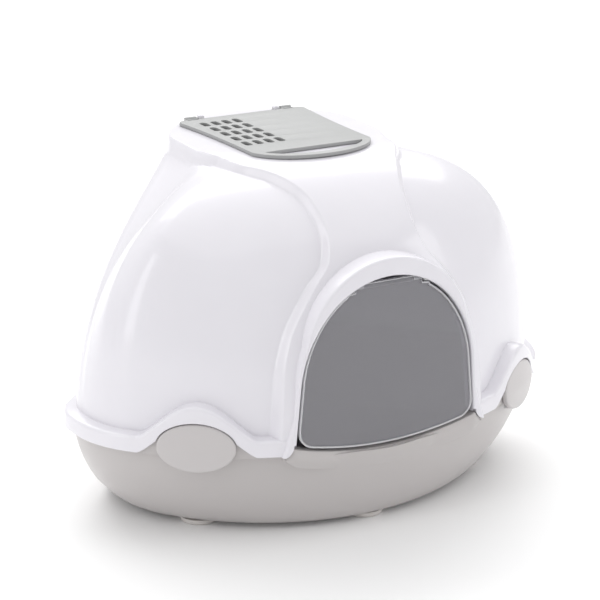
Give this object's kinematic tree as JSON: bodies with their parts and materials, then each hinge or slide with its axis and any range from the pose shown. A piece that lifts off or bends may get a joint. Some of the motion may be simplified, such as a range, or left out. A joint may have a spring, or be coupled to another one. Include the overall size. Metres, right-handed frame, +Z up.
{
  "type": "hooded cat litter box",
  "caption": "Corner litter tray under a domed lift-off hood with a see-through swing flap, side latches and a hinged vent lid over a carbon filter.",
  "frame": {"origin": "middle of the whole box, on the surface that the feet stand on", "axes": "+X to the right seen from the doorway side, +Y from the doorway to the back corner, +Z up"},
  "size_m": [0.572, 0.4601, 0.3871],
  "materials": {
    "hood": "glossy white moulded plastic",
    "tray": "satin warm grey moulded plastic",
    "latch": "satin warm grey moulded plastic",
    "lid": "fine satin grey moulded plastic",
    "flap": "smoked clear plastic",
    "pin": "grey moulded plastic",
    "filter": "black carbon fleece",
    "foot": "pale soft grip pad"
  },
  "bodies": {
    "base": {"base_tray": "tray", "latch_pin_left": "pin", "latch_pin_right": "pin", "foot_1": "foot", "foot_2": "foot", "foot_3": "foot", "foot_4": "foot", "foot_5": "foot"},
    "hood": {"hood_shell": "hood", "flap_bracket_left": "pin", "flap_bracket_right": "pin", "lid_pin_left": "pin", "lid_pin_right": "pin", "filter_frame": "lid", "carbon_filter": "filter"},
    "flap": {"door_flap": "flap", "flap_pin_left": "pin", "flap_pin_right": "pin"},
    "lid": {"vent_lid": "lid"},
    "left_latch": {"latch_left": "latch"},
    "right_latch": {"latch_right": "latch"}
  },
  "joints": [
    {"name": "hood_lift", "type": "slide", "parent": "base", "child": "hood", "axis": [0, 0, 1], "range_m": [0, 0.35]},
    {"name": "flap_swing", "type": "hinge", "parent": "hood", "child": "flap", "pos_m": [0, -0.22055, 0.2735], "axis": [1, 0, 0], "range_deg": [-50, 75]},
    {"name": "lid_hinge", "type": "hinge", "parent": "hood", "child": "lid", "pos_m": [0, 0.11395, 0.3835], "axis": [-1, 0, 0], "range_deg": [0, 100]},
    {"name": "left_latch_hinge", "type": "hinge", "parent": "base", "child": "left_latch", "pos_m": [-0.19814, -0.16927, 0.092], "axis": [0.809, -0.5878, 0], "range_deg": [0, 40]},
    {"name": "right_latch_hinge", "type": "hinge", "parent": "base", "child": "right_latch", "pos_m": [0.19814, -0.16927, 0.092], "axis": [0.809, 0.5878, 0], "range_deg": [0, 40]}
  ]
}
